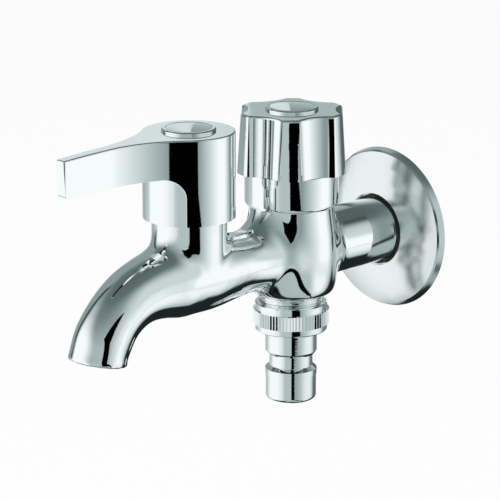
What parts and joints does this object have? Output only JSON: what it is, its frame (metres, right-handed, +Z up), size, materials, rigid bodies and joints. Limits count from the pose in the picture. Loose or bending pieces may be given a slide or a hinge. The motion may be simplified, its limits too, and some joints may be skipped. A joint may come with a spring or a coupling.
{
  "type": "wall tap",
  "caption": "Chromed wall-mounted bib tap: a lever valve above a curved spout, and behind it a lobed-knob valve above a hose nipple with a ribbed union nut.",
  "frame": {"origin": "inlet axis on the wall plane, at the back of the flange", "axes": "+Y into the wall along the inlet thread, -Y out towards the spout, +Z up along both valve axes, +X to the right when facing the wall"},
  "size_m": [0.06, 0.17, 0.1096],
  "materials": {
    "chrome": "bright polished chrome plating",
    "brass": "turned, bare",
    "steel": "plain stainless",
    "ceramic": "lapped white alumina",
    "fibre": "pressed red fibre",
    "rubber": "black moulded rubber"
  },
  "bodies": {
    "tap": {"tap_body": "chrome", "wall_flange": "chrome", "flange_o_ring": "rubber", "bonnet_cover": "chrome", "hose_washer": "rubber", "hose_nipple": "chrome", "rear_headwork_body": "brass", "rear_headwork_gasket": "fibre", "rear_seat_seal": "rubber", "rear_fixed_disc": "ceramic", "front_headwork_body": "brass", "front_headwork_gasket": "fibre", "front_seat_seal": "rubber", "front_fixed_disc": "ceramic"},
    "lever": {"lever_handle": "chrome", "lever_button": "chrome", "lever_screw": "steel", "front_spindle": "brass", "front_spindle_o_ring": "rubber", "front_circlip": "steel", "front_moving_disc": "ceramic"},
    "knob_group": {"knob": "chrome", "knob_button": "chrome", "knob_screw": "steel", "rear_spindle": "brass", "rear_spindle_o_ring": "rubber", "rear_circlip": "steel", "rear_moving_disc": "ceramic"},
    "union_nut": {"hose_nut": "chrome"}
  },
  "joints": [
    {"name": "lever_turn", "type": "hinge", "parent": "tap", "child": "lever", "pos_m": [0, -0.0985, 0], "axis": [0, 0, 1], "range_deg": [0, 90]},
    {"name": "knob_turn", "type": "hinge", "parent": "tap", "child": "knob_group", "pos_m": [0, -0.049, 0], "axis": [0, 0, 1], "range_deg": [0, 90]},
    {"name": "hose_nut_turn", "type": "hinge", "parent": "tap", "child": "union_nut", "pos_m": [0, -0.049, 0], "axis": [0, 0, 1], "continuous": true}
  ]
}
